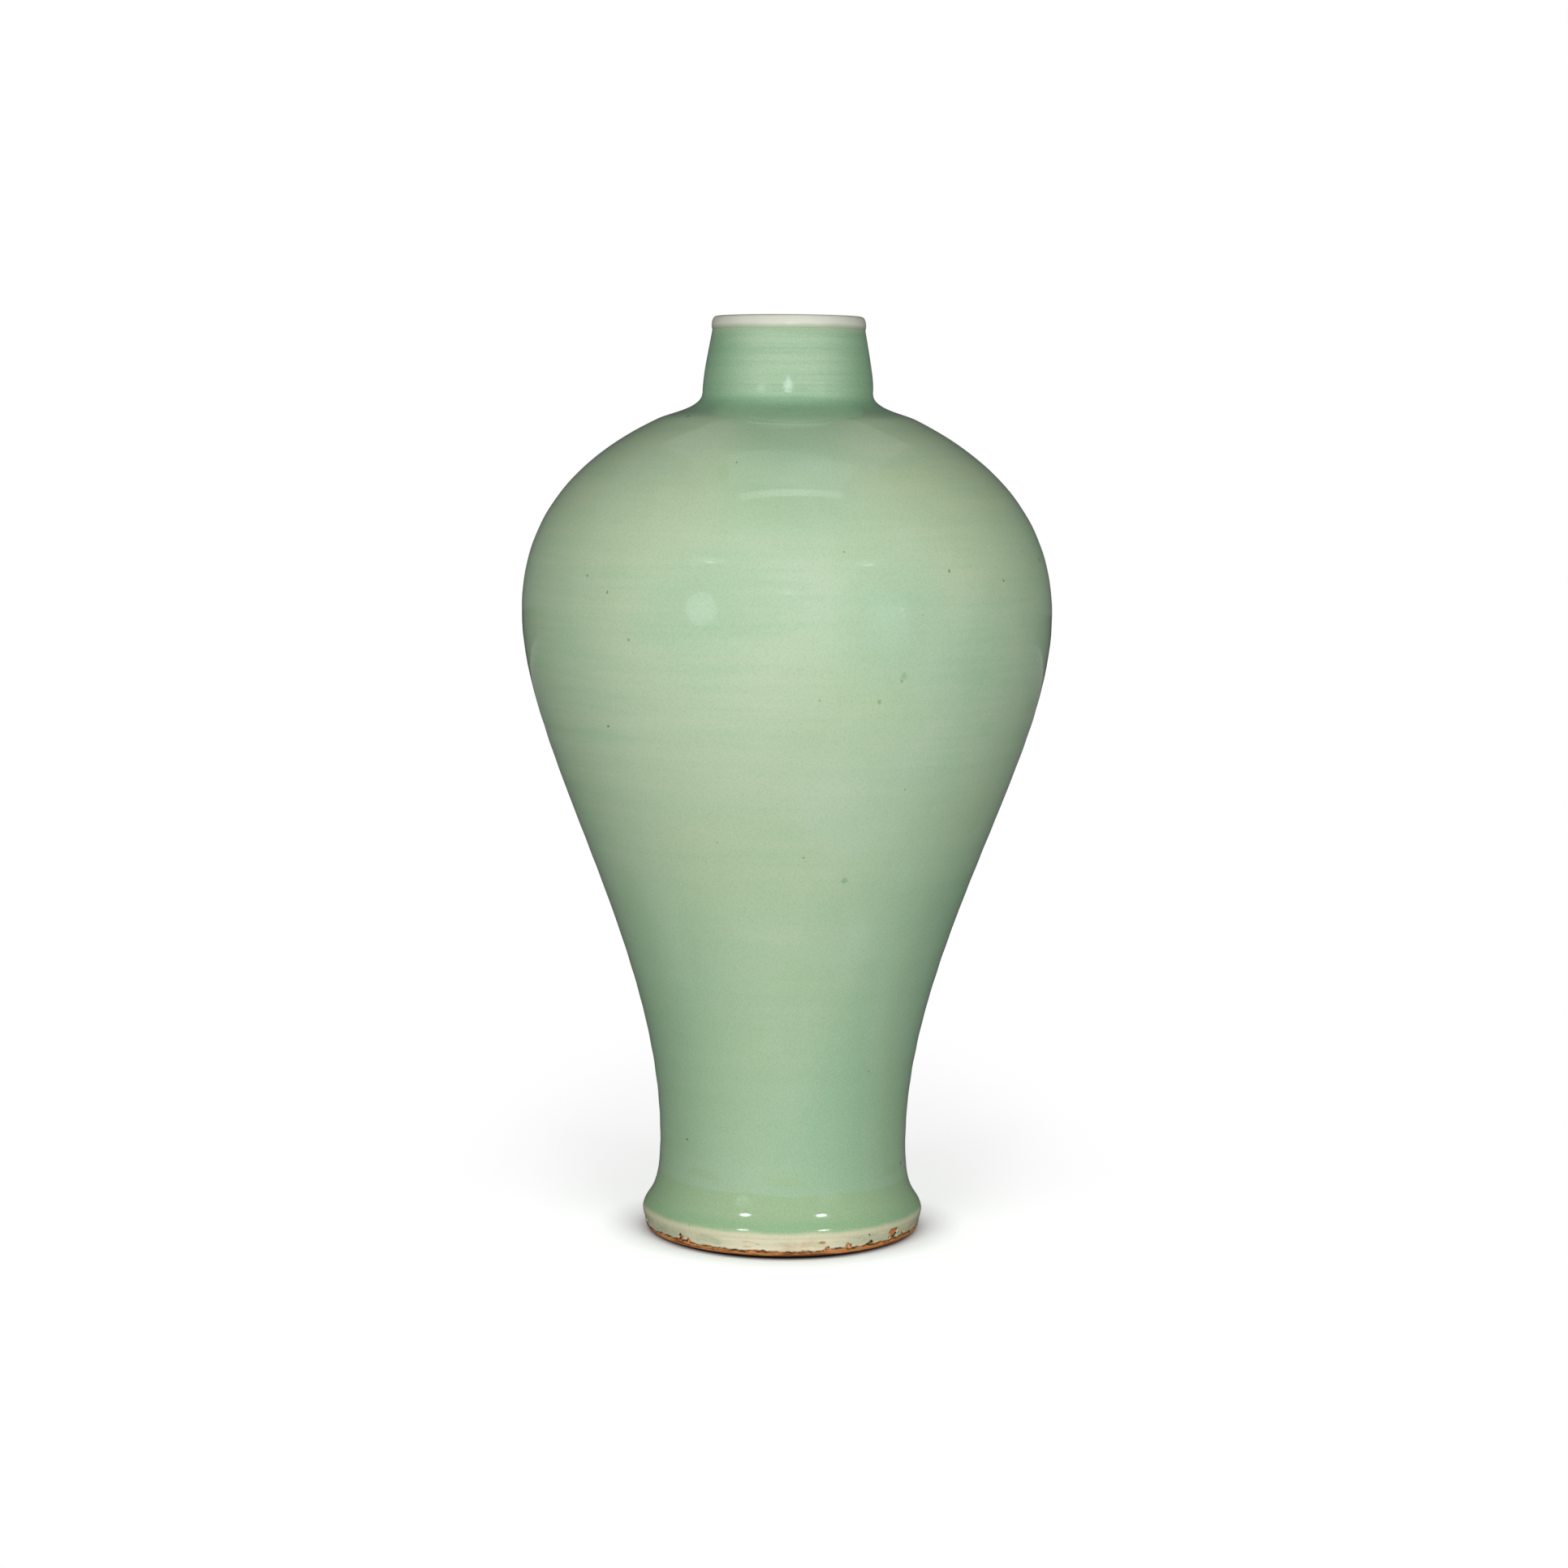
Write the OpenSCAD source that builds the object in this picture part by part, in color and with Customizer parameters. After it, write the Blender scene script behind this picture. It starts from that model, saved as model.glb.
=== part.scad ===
// Celadon meiping vase: a round-shouldered stoneware vase with a short narrow neck. It is thrown in
// sections that are luted together with slip, closed with an inset base disc, and coated with glaze.
// The origin is the centre of the resting face, and +Z points up through the mouth.

/* [Outline heights] */
// Height of the widest line of the foot above the resting face
ridge_h = 6.8; // [6:0.1:9]
// Height of the waist, the narrowest line above the foot
waist_h = 33; // [28:0.5:40]
// Rise from the waist to the widest line of the belly
belly_rise = 198.5; // [180:0.5:220]
// Rise from the widest line of the belly to the root of the neck
shoulder_rise = 71; // [62:0.5:84]
// Rise of the soft fold between the shoulder and the neck
fold_rise = 9.5; // [8:0.5:12]
// Rise of the neck from the fold to the lip
neck_rise = 23.2; // [18:0.2:30]
// Rise of the lip above the neck
lip_rise = 4.8; // [4:0.1:7]

/* [Outline radii] */
// Outer radius of the resting face
foot_r = 49; // [47:0.1:50]
// Radius at the widest line of the foot
ridge_r = 52.4; // [52:0.1:56]
// Radius of the waist
waist_r = 46.2; // [43:0.1:49]
// Radius at the widest line of the belly
belly_r = 98; // [88:0.5:108]
// Radius at the root of the neck, where the shoulder turns into the fold
root_r = 47.6; // [43:0.1:52]
// Radius of the neck just above the fold
neck_foot_r = 31.5; // [30:0.1:34]
// Radius of the neck just under the lip
neck_top_r = 28.1; // [27:0.1:29.5]
// Radius of the round crest of the lip
crest_r = 26.5; // [25.5:0.1:27]

/* [Outline fullness] */
// How far the wall keeps its upright line above the waist
waist_run = 75; // [50:1:90]
// How far the wall keeps its upright line below the widest line of the belly
belly_run_down = 53.5; // [40:0.5:65]
// How far the wall keeps its upright line above the widest line of the belly
belly_run_up = 38.3; // [30:0.1:46]
// Slope of the shoulder at the root of the neck, in degrees above level
root_slope = 26; // [20:0.5:32]
// How far the shoulder keeps that slope before the root of the neck
root_run = 27.8; // [20:0.1:36]
// How far the fold keeps that slope after the root of the neck
fold_run = 5.4; // [4:0.1:8]
// How far the fold keeps the upright line of the neck
fold_upright = 5.7; // [4:0.1:7]
// How far the foot stands upright above its widest line
ridge_run = 6.8; // [4:0.1:9]
// How far the wall keeps its upright line below the waist
ankle_run = 23; // [18:0.5:25]

/* [Foot and base] */
// Height of the bare band at the edge of the foot, which the fire has burnt orange
bare_h = 2.6; // [1.8:0.1:3]
// Radius at the top of the bare band
bare_r = 51.5; // [51:0.1:51.8]
// Height of the ledge inside the foot ring, on which the base disc is luted
ledge_h = 7; // [5:0.1:9]
// Width of that ledge
ledge_w = 2.4; // [1.5:0.1:6]
// Width of the chamfer round the inside of the foot ring
chamfer = 1.5; // [0.5:0.1:3]
// Thickness of the base disc
base_t = 8; // [6:0.1:10]

/* [Walls and mouth] */
// Thickness of the thrown wall
wall = 7; // [5:0.1:8]
// Radius of the glazed passage through the neck
mouth_r = 22; // [20:0.1:23]

/* [Luting joints] */
// Height of the joint between the foot section and the lower body
foot_joint_h = 66; // [55:0.5:80]
// Height of the joint between the lower body and the belly
body_joint_h = 158; // [130:0.5:180]
// Height of the neck joint above the root of the neck
neck_joint_lift = 3.5; // [2:0.1:5]
// Height of the ridge that keys one scored edge into the next
key_h = 1.6; // [0.8:0.1:2.5]
// Thickness of the slip in every joint
slip_t = 0.6; // [0.4:0.05:1]
// Radius of the bead of slip that the joints press out on the inside
bead_r = 1.5; // [0.8:0.1:2.5]

/* [Glaze] */
// Thickness of the celadon coat on the body
glaze_t = 0.8; // [0.6:0.05:1.2]
// Thickness of the glaze where it runs thin, on the lip, in the neck and at the edge of the foot
thin_glaze_t = 0.4; // [0.2:0.05:0.5]
// Thickness of the pool of glaze under the base disc
base_glaze_t = 1.2; // [0.8:0.05:1.6]
// Height over which the coat thickens from a thin edge to its full depth
glaze_ramp = 6; // [4:0.5:10]

/* [Hidden] */

$fn = 96;

// Steps along each stretch of the outline
edge_steps = 5;
bevel_steps = 4;
ankle_steps = 10;
body_steps = 22;
shoulder_steps = 18;
fold_steps = 8;
neck_steps = 7;
lip_steps = 7;

// Heights worked out from the rises
belly_h = waist_h + belly_rise;
root_h = belly_h + shoulder_rise;
neck_foot_h = root_h + fold_rise;
lip_h = neck_foot_h + neck_rise;
mouth_h = lip_h + lip_rise;
neck_joint_h = root_h + neck_joint_lift;

// How far the small curves of the neck, the lip, the throat and the foot keep their direction
neck_run = 6;
lip_lean = 1;
lip_swell = 0.5;
throat_run = 2;
edge_run = 1.4;

// Drop of the rounded lip from its crest to the straight passage
throat_drop = 3.5;

// How far cutting shapes run past what they cut
overlap = 5;

// Stoneware, slip and glaze colours
grey_clay = [0.62, 0.58, 0.52];
burnt_clay = [0.70, 0.46, 0.27];
slip_colour = [0.72, 0.66, 0.57];
celadon = [0.68, 0.79, 0.66];
pale_glaze = [0.85, 0.86, 0.79];

// Points of a cubic curve after its start, from a to d, leaving towards b and arriving from c
function curve(a, b, c, d, steps) = [
    for (i = [1:steps])
        let (t = i / steps, s = 1 - t)
            s * s * s * a + 3 * s * s * t * b + 3 * s * t * t * c + t * t * t * d
];
function slice(path, first, last) = [for (i = [first:last]) path[i]];
function reversed(path) = [for (i = [len(path) - 1:-1:0]) path[i]];

// Unit direction into the clay at one point of an outline that runs up the outside
function inward(path, i) =
    let (
        before = path[max(i - 1, 0)],
        after = path[min(i + 1, len(path) - 1)],
        along = (after - before) / norm(after - before)
    )
        [-along[1], along[0]];

// Radius of an outline of [radius, height] points at one height
function radius_at(path, height) = lookup(height, [for (p = path) [p[1], p[0]]]);

// Outer surface of the finished vase, as [radius, height] points from the resting face to the throat
foot_point = [foot_r, 0];
bare_point = [bare_r, bare_h];
ridge_point = [ridge_r, ridge_h];
waist_point = [waist_r, waist_h];
belly_point = [belly_r, belly_h];
root_point = [root_r, root_h];
neck_foot_point = [neck_foot_r, neck_foot_h];
lip_point = [neck_top_r, lip_h];
crest_point = [crest_r, mouth_h];
throat_point = [mouth_r, mouth_h - throat_drop];
shoulder_direction = [-cos(root_slope), sin(root_slope)];

skin = concat(
    [foot_point],
    curve(foot_point, foot_point + [edge_run, 0], bare_point - [0, edge_run], bare_point, edge_steps),
    curve(bare_point, bare_point + [0, edge_run], ridge_point - [0, edge_run], ridge_point, bevel_steps),
    curve(ridge_point, ridge_point + [0, ridge_run], waist_point - [0, ankle_run], waist_point,
          ankle_steps),
    curve(waist_point, waist_point + [0, waist_run], belly_point - [0, belly_run_down], belly_point,
          body_steps),
    curve(belly_point, belly_point + [0, belly_run_up], root_point - root_run * shoulder_direction,
          root_point, shoulder_steps),
    curve(root_point, root_point + fold_run * shoulder_direction, neck_foot_point - [0, fold_upright],
          neck_foot_point, fold_steps),
    curve(neck_foot_point, neck_foot_point + [0, neck_run], lip_point + [lip_lean, -neck_run], lip_point,
          neck_steps),
    curve(lip_point, lip_point + [lip_swell, lip_swell], [neck_top_r + lip_swell, mouth_h], crest_point,
          lip_steps),
    curve(crest_point, crest_point - [throat_run, 0], throat_point + [0, throat_run], throat_point,
          lip_steps)
);

// Where the coats of glaze begin and end along the skin
bare_i = edge_steps;
ridge_i = bare_i + bevel_steps;
waist_i = ridge_i + ankle_steps;
root_i = waist_i + body_steps + shoulder_steps;
neck_foot_i = root_i + fold_steps;
lip_i = neck_foot_i + neck_steps;
throat_i = lip_i + 2 * lip_steps;

// Depth of the glaze at one point of the skin
function glaze_depth(i) = i < bare_i ? 0 : lookup(skin[i][1], [
    [ridge_h, thin_glaze_t],
    [ridge_h + glaze_ramp, glaze_t],
    [lip_h - glaze_ramp, glaze_t],
    [lip_h, thin_glaze_t]
]);

// Outside of the clay under the glaze, and inside of the thrown wall from the waist to the neck
clay = [for (i = [0:throat_i]) skin[i] + glaze_depth(i) * inward(skin, i)];
lining = [for (i = [waist_i:root_i]) skin[i] + (glaze_depth(i) + wall) * inward(skin, i)];
ceiling_h = lining[len(lining) - 1][1];
passage_r = mouth_r + thin_glaze_t;
throat_h = throat_point[1];

// The base disc lies on the ledge of the foot with slip under it and round it
pocket_r = lining[0][0];
recess_r = pocket_r - ledge_w;
disc_r = pocket_r - slip_t;
disc_h = ledge_h + slip_t;
disc_top_h = disc_h + base_t;

// Half section of the space inside the clay: body, passage through the neck, and foot recess
module hollow_2d() {
    polygon(concat([[0, ledge_h], [pocket_r, ledge_h]], lining, [[0, ceiling_h]]));
    translate([0, ceiling_h - overlap])
        square([passage_r, mouth_h - ceiling_h + 2 * overlap]);
    polygon([
        [0, 0], [recess_r + chamfer, 0], [recess_r, chamfer], [recess_r, ledge_h + overlap],
        [0, ledge_h + overlap]
    ]);
}

// Half section of all the clay of the wall
module clay_2d() {
    difference() {
        polygon(concat([[0, 0]], clay, [[0, throat_h]]));
        hollow_2d();
    }
}

// Outside of the clay along the body and along the fold
body_clay = slice(clay, waist_i, root_i);
fold_clay = slice(clay, root_i, neck_foot_i);

// Middle of the wall at one height, where the keyed edges have their ridge
function wall_middle(height) = (radius_at(body_clay, height) + radius_at(lining, height)) / 2;

// Keyed line across the wall at one height, as points from the axis outwards
function keyed_line(height, middle) = [
    [0, height], [middle - key_h, height], [middle, height + key_h], [middle + key_h, height],
    [belly_r + overlap, height]
];
function flat_line(height) = [[0, height], [belly_r + overlap, height]];

// Part of a half section that lies between two lines across the wall
module between_2d(lower_line, upper_line) {
    intersection() {
        children();
        polygon(concat(lower_line, reversed(upper_line)));
    }
}

// Half section of the bead of slip that one joint presses out on the inside
module bead_2d(height) {
    translate([radius_at(lining, height), height])
        circle(bead_r);
}

// Lines above and below the slip of one joint
function over_joint(height, middle) = keyed_line(height + slip_t / 2, middle);
function under_joint(height, middle) = keyed_line(height - slip_t / 2, middle);

// One thrown section of the wall
module thrown_section(lower_line, upper_line, tint = grey_clay) {
    color(tint)
        rotate_extrude()
            between_2d(lower_line, upper_line)
                clay_2d();
}

// Slip that fills one joint, in one piece with its bead
module luting_ring(height, middle) {
    color(slip_colour)
        rotate_extrude() {
            between_2d(under_joint(height, middle), over_joint(height, middle))
                union() {
                    clay_2d();
                    bead_2d(height);
                }
            difference() {
                bead_2d(height);
                clay_2d();
            }
        }
}

// One coat of glaze between two points along the skin
module glaze_coat(first, last, tint) {
    color(tint)
        rotate_extrude()
            polygon(concat(slice(skin, first, last), reversed(slice(clay, first, last))));
}

foot_middle = wall_middle(foot_joint_h);
body_middle = wall_middle(body_joint_h);
belly_middle = wall_middle(belly_h);
neck_middle = (radius_at(fold_clay, neck_joint_h) + passage_r) / 2;

// Foot section: the foot ring, the ledge for the base disc and the waist, bare and burnt at its edge
module foot_section() {
    thrown_section(flat_line(0), under_joint(foot_joint_h, foot_middle), burnt_clay);
}

// Lower body, from above the waist to the spring of the belly
module lower_body_section() {
    thrown_section(over_joint(foot_joint_h, foot_middle), under_joint(body_joint_h, body_middle));
}

// Belly, up to the widest line
module belly_section() {
    thrown_section(over_joint(body_joint_h, body_middle), under_joint(belly_h, belly_middle));
}

// Shoulder, from the widest line to the seat of the neck
module shoulder_section() {
    thrown_section(over_joint(belly_h, belly_middle), under_joint(neck_joint_h, neck_middle));
}

// Neck and lip, luted on the rim of the shoulder
module neck_section() {
    thrown_section(over_joint(neck_joint_h, neck_middle), flat_line(mouth_h));
}

// Base disc, dropped in from above before the vase was closed
module base_disc() {
    color(grey_clay)
        translate([0, 0, disc_h])
            cylinder(h = base_t, r = disc_r);
}

// Slip under and round the base disc, with a cove against the wall
module base_luting_slip() {
    color(slip_colour)
        rotate_extrude()
            polygon([
                [recess_r, ledge_h], [pocket_r, ledge_h], [pocket_r, disc_top_h + bead_r],
                [disc_r - bead_r, disc_top_h], [disc_r, disc_top_h], [disc_r, disc_h], [recess_r, disc_h]
            ]);
}

// Slip between the foot section and the lower body
module waist_luting_slip() {
    luting_ring(foot_joint_h, foot_middle);
}

// Slip between the lower body and the belly
module belly_luting_slip() {
    luting_ring(body_joint_h, body_middle);
}

// Slip between the belly and the shoulder
module shoulder_luting_slip() {
    luting_ring(belly_h, belly_middle);
}

// Slip between the shoulder and the neck, wiped flush in the narrow passage
module neck_luting_slip() {
    color(slip_colour)
        rotate_extrude()
            between_2d(under_joint(neck_joint_h, neck_middle), over_joint(neck_joint_h, neck_middle))
                clay_2d();
}

// Celadon coat from the widest line of the foot to the lip
module body_glaze() {
    glaze_coat(ridge_i, lip_i, celadon);
}

// Thin pale glaze over the lip
module lip_glaze() {
    glaze_coat(lip_i, throat_i, pale_glaze);
}

// Thin glaze in the passage through the neck
module neck_lining_glaze() {
    color(celadon)
        rotate_extrude()
            translate([mouth_r, ceiling_h])
                square([thin_glaze_t, throat_h - ceiling_h]);
}

// Thin pale glaze between the bare band and the widest line of the foot
module foot_edge_glaze() {
    glaze_coat(bare_i, ridge_i, pale_glaze);
}

// Pool of glaze under the base disc, inside the foot ring
module base_glaze() {
    color(celadon)
        translate([0, 0, disc_h - base_glaze_t])
            cylinder(h = base_glaze_t, r = recess_r);
}

foot_section();
lower_body_section();
belly_section();
shoulder_section();
neck_section();
base_disc();
base_luting_slip();
waist_luting_slip();
belly_luting_slip();
shoulder_luting_slip();
neck_luting_slip();
body_glaze();
lip_glaze();
neck_lining_glaze();
foot_edge_glaze();
base_glaze();
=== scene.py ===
"""Looks of the celadon meiping vase: glaze coats, burnt foot, bare stoneware, studio light and camera.

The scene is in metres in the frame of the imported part: +Z up, the camera side at -Y. Places on the vase are
given by azimuth, in degrees round the axis from the camera side towards +X, and height, in millimetres above
the resting face. Outlines, depths and widths of marks are in millimetres too.
"""
import math

import bpy
import numpy as np
from mathutils import Matrix, Vector, noise


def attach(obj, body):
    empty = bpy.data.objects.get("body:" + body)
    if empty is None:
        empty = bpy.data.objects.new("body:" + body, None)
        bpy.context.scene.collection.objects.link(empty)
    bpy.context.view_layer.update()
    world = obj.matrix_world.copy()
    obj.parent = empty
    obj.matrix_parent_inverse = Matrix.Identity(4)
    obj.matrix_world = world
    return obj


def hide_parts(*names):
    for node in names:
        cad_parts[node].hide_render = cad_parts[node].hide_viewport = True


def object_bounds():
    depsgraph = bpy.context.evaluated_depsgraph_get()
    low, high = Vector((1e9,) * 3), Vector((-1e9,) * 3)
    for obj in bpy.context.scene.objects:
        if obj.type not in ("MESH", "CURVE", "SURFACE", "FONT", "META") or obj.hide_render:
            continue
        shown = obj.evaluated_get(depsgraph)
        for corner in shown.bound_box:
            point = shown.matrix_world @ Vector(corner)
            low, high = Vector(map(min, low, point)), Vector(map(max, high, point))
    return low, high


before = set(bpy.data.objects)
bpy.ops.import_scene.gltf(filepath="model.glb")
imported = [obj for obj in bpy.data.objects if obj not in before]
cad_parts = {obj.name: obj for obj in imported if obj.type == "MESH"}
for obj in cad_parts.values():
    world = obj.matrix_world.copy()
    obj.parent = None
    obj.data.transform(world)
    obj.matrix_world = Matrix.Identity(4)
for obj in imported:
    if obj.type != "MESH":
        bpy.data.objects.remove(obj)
cad_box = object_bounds()

MM = 0.001

# Camera, solved from the outline of the vase in the photograph: place, angles in degrees, lens
CAMERA_PLACE = Vector((-0.0005, -1.230, 0.300))
CAMERA_TILT_DOWN = 6.1545
CAMERA_ROLL = 0.443
CAMERA_LENS_MM = 76.21
SENSOR_MM = 36.0
CAMERA_SEES_TO = 30.0


def make_camera():
    """The photograph's camera: level with the top of the shoulder, looking slightly down."""
    data = bpy.data.cameras.new("camera")
    data.lens = CAMERA_LENS_MM
    data.sensor_width = SENSOR_MM
    data.clip_end = CAMERA_SEES_TO
    camera = bpy.data.objects.new("camera", data)
    camera.matrix_world = (
        Matrix.Translation(CAMERA_PLACE)
        @ Matrix.Rotation(math.radians(90 - CAMERA_TILT_DOWN), 4, "X")
        @ Matrix.Rotation(math.radians(CAMERA_ROLL), 4, "Z")
    )
    bpy.context.scene.collection.objects.link(camera)
    bpy.context.scene.camera = camera


# Outline of the vase, read from the frame. A vertex is on the seam at azimuth 90 when it is this close to it
SEAM_MM = 0.001


def half_section(node):
    """Closed outline of a turned CAD node as (radius, height) points in millimetres, in order."""
    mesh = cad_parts[node].data
    co = np.array([v.co[:] for v in mesh.vertices]) / MM
    on_seam = (np.abs(co[:, 1]) < SEAM_MM) & (co[:, 0] > 0)
    key = {i: (round(co[i][0], 2), round(co[i][2], 2)) for i in np.flatnonzero(on_seam)}
    near = {}
    for edge in mesh.edges:
        a, b = (key.get(i) for i in edge.vertices)
        if a and b and a != b:
            near.setdefault(a, set()).add(b)
            near.setdefault(b, set()).add(a)
    loop = [min(near, key=lambda p: (p[1], -p[0]))]
    ahead = max(near[loop[0]], key=lambda p: p[0])
    while ahead != loop[0]:
        loop.append(ahead)
        ahead = next(p for p in near[ahead] if p != loop[-2])
    return np.array(loop)


def outer_run(node):
    """The part of a coat's outline that is seen from outside, from its low edge up, and the rest of it."""
    loop = half_section(node)
    top = max(range(len(loop)), key=lambda i: (round(loop[i][1], 1), loop[i][0]))
    return loop[: top + 1], loop[top + 1 :]


def finer(path, parts):
    """The path with each stretch cut into parts along a smooth curve through its points. parts is a
    number or a function of height."""
    before = np.vstack([2 * path[0] - path[1], path, 2 * path[-1] - path[-2]])
    out = [path[:1]]
    for i in range(1, len(path)):
        p0, p1, p2, p3 = before[i - 1], before[i], before[i + 1], before[i + 2]
        count = parts(path[i][1]) if callable(parts) else parts
        t = (np.arange(1, count + 1) / count)[:, None]
        out.append(
            0.5 * (2 * p1 + (p2 - p0) * t + (2 * p0 - 5 * p1 + 4 * p2 - p3) * t**2
                   + (3 * p1 - p0 - 3 * p2 + p3) * t**3)
        )
    return np.vstack(out)


# Edges that turn by more than this many degrees are shaded as sharp
SHARP_TURN = 40


def turned(name, loop, segments, shape=None):
    """A closed turned mesh from a loop of (radius, height) points. shape may move each vertex: it is
    given azimuth in radians, radius and height arrays, and returns radius, height and a shift along X."""
    rings = len(loop)
    turn = 2 * math.pi * np.arange(segments) / segments
    azimuth = np.tile(turn, rings)
    radius = np.repeat(loop[:, 0], segments)
    height = np.repeat(loop[:, 1], segments)
    shift = np.zeros_like(height)
    if shape:
        radius, height, shift = shape(azimuth, radius, height)
    co = np.stack([radius * np.sin(azimuth) + shift, -radius * np.cos(azimuth), height], 1) * MM
    ring, step = np.meshgrid(np.arange(rings), np.arange(segments), indexing="ij")
    up, on = (ring + 1) % rings, (step + 1) % segments
    quads = np.stack(
        [ring * segments + step, ring * segments + on, up * segments + on, up * segments + step], -1
    ).reshape(-1, 4)
    mesh = bpy.data.meshes.new(name)
    mesh.from_pydata(co.tolist(), [], quads.tolist())
    mesh.polygons.foreach_set("use_smooth", np.ones(len(quads), bool))
    mesh.update()
    mesh.set_sharp_from_angle(angle=math.radians(SHARP_TURN))
    turned_object = bpy.data.objects.new(name, mesh)
    bpy.context.scene.collection.objects.link(turned_object)
    return turned_object


# The outlines of the coats and the foot, and the skin: all that is seen from outside, from foot to lip.
# The clay is bare up to BARE_H. A point of the foot's outline is there when it is at most this far below it
NEAR_MM = 0.05
BODY_OUT, BODY_IN = outer_run("body_glaze")
LIP_OUT, LIP_IN = outer_run("lip_glaze")
EDGE_OUT, EDGE_IN = outer_run("foot_edge_glaze")
FOOT = half_section("foot_section")
BARE_H = EDGE_OUT[0][1]
RIDGE_H = BODY_OUT[0][1]
EDGE_T = EDGE_OUT[0][0] - EDGE_IN[-1][0]
BARE_OUT = FOOT[: int(np.argmax(FOOT[:, 1] >= BARE_H - NEAR_MM)) + 1]
SKIN = np.vstack([BARE_OUT[:-1], EDGE_OUT, BODY_OUT[1:], LIP_OUT[1:]])


def skin_radius(height):
    """Radius of the outer skin at heights."""
    return np.interp(height, SKIN[:, 1], SKIN[:, 0])


def on_skin(azimuth, height):
    """The point of the outer skin at an azimuth in degrees and a height in millimetres, in metres."""
    radius = float(skin_radius(height))
    turn = math.radians(azimuth)
    return Vector((radius * math.sin(turn), -radius * math.cos(turn), height)) * MM


# Shader building
WHITE = (1, 1, 1, 1)


def new_material(name):
    """An empty node material and its tree."""
    material = bpy.data.materials.new(name)
    material.use_nodes = True
    material.node_tree.nodes.clear()
    return material, material.node_tree


def add(tree, kind, inputs=None, out=0, **settings):
    """Adds a shader node, sets or links its inputs, and returns one of its outputs."""
    node = tree.nodes.new("ShaderNode" + kind)
    for key, value in settings.items():
        setattr(node, key, value)
    for key, value in (inputs or {}).items():
        if isinstance(value, bpy.types.NodeSocket):
            tree.links.new(value, node.inputs[key])
        else:
            node.inputs[key].default_value = value
    return node.outputs[out]


def add_output(tree, shader, kind="Material"):
    """Links a shader to the surface of a material or a world."""
    output = tree.nodes.new("ShaderNodeOutput" + kind)
    tree.links.new(shader, output.inputs["Surface"])


def linear(rgb):
    """A colour written in 0-255 screen values, as a linear RGBA tuple by the sRGB curve."""
    return tuple(c / 255 / 12.92 if c <= 10 else ((c / 255 + 0.055) / 1.055) ** 2.4 for c in rgb) + (1.0,)


def place(tree):
    """Coordinates on the vase, which are the frame's own."""
    return add(tree, "TexCoord", out="Object")


def stored(tree, name):
    """A number stored on the vertices."""
    return add(tree, "Attribute", out="Fac", attribute_name=name)


def maths(tree, operation, a, b=0.0):
    """One math node."""
    return add(tree, "Math", {0: a, 1: b}, operation=operation)


def product(tree, *values):
    """The values multiplied."""
    result = values[0]
    for value in values[1:]:
        result = maths(tree, "MULTIPLY", result, value)
    return result


def length(tree, vector):
    """Length of a vector."""
    return add(tree, "VectorMath", {0: vector}, out="Value", operation="LENGTH")


def spread(tree, value, low, high, to_low=0.0, to_high=1.0, smooth=False):
    """value mapped from low..high to to_low..to_high, held at both ends."""
    return add(
        tree, "MapRange",
        {"Value": value, "From Min": low, "From Max": high, "To Min": to_low, "To Max": to_high},
        interpolation_type="SMOOTHSTEP" if smooth else "LINEAR",
    )


def grain(tree, stretch, scale, detail=2.0, roughness=0.5):
    """Noise from 0 to 1 over the vase. A small number in stretch draws it out along that axis."""
    stretched = add(tree, "Mapping", {"Vector": place(tree), "Scale": stretch})
    return add(
        tree, "TexNoise",
        {"Vector": stretched, "Scale": scale, "Detail": detail, "Roughness": roughness},
    )


def cells(tree, scale):
    """Distance to the nearest of many scattered points, which are closer together at a greater scale."""
    return add(tree, "TexVoronoi", {"Vector": place(tree), "Scale": scale}, out="Distance")


def height_mm(tree, wobble=0.0, scale=30.0):
    """Height above the resting face in millimetres, made uneven by wobble millimetres."""
    z = add(tree, "SeparateXYZ", {0: place(tree)}, out=2)
    z = product(tree, z, 1 / MM)
    if wobble:
        uneven = grain(tree, (1, 1, 0.3), scale, detail=3.0)
        z = maths(tree, "ADD", z, spread(tree, uneven, 0.25, 0.75, -wobble, wobble))
    return z


def warped_place(tree, shift_mm, scale):
    """The coordinates pushed about by up to shift_mm, so that round marks come out irregular."""
    push = add(tree, "TexNoise", {"Vector": place(tree), "Scale": scale, "Detail": 2.0}, out="Color")
    push = add(tree, "VectorMath", {0: push, 1: (0.5, 0.5, 0.5)}, operation="SUBTRACT")
    push = add(tree, "VectorMath", {0: push, "Scale": 4 * shift_mm * MM}, operation="SCALE")
    return add(tree, "VectorMath", {0: place(tree), 1: push})


def band(tree, value, low, high, soft):
    """1 where value is between low and high, 0 elsewhere, with edges that are soft wide."""
    rise = spread(tree, value, low - soft / 2, low + soft / 2, smooth=True)
    fall = spread(tree, value, high - soft / 2, high + soft / 2, 1.0, 0.0, smooth=True)
    return product(tree, rise, fall)


def spot(tree, where, azimuth, height, size, soft=0.5):
    """1 at a round mark size millimetres wide on the skin, 0 outside it."""
    away = add(
        tree, "VectorMath", {0: where, 1: on_skin(azimuth, height)}, out="Value", operation="DISTANCE"
    )
    half = size / 2 * MM
    return spread(tree, away, half * (1 - soft), half * (1 + soft), 1.0, 0.0, smooth=True)


def overlay(tree, colour, tint, *shares):
    """The colour turned into tint, a screen colour, by the product of the shares."""
    return add(tree, "Mix", {0: product(tree, *shares), 6: colour, 7: linear(tint)}, out=2, data_type="RGBA")


def veil(tree, colour, tint, pattern, start, full, strength=1.0, smooth=False):
    """The colour turned into tint where a pattern goes from the value start to the value full."""
    return overlay(tree, colour, tint, spread(tree, pattern, start, full, 0.0, strength, smooth))


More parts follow.
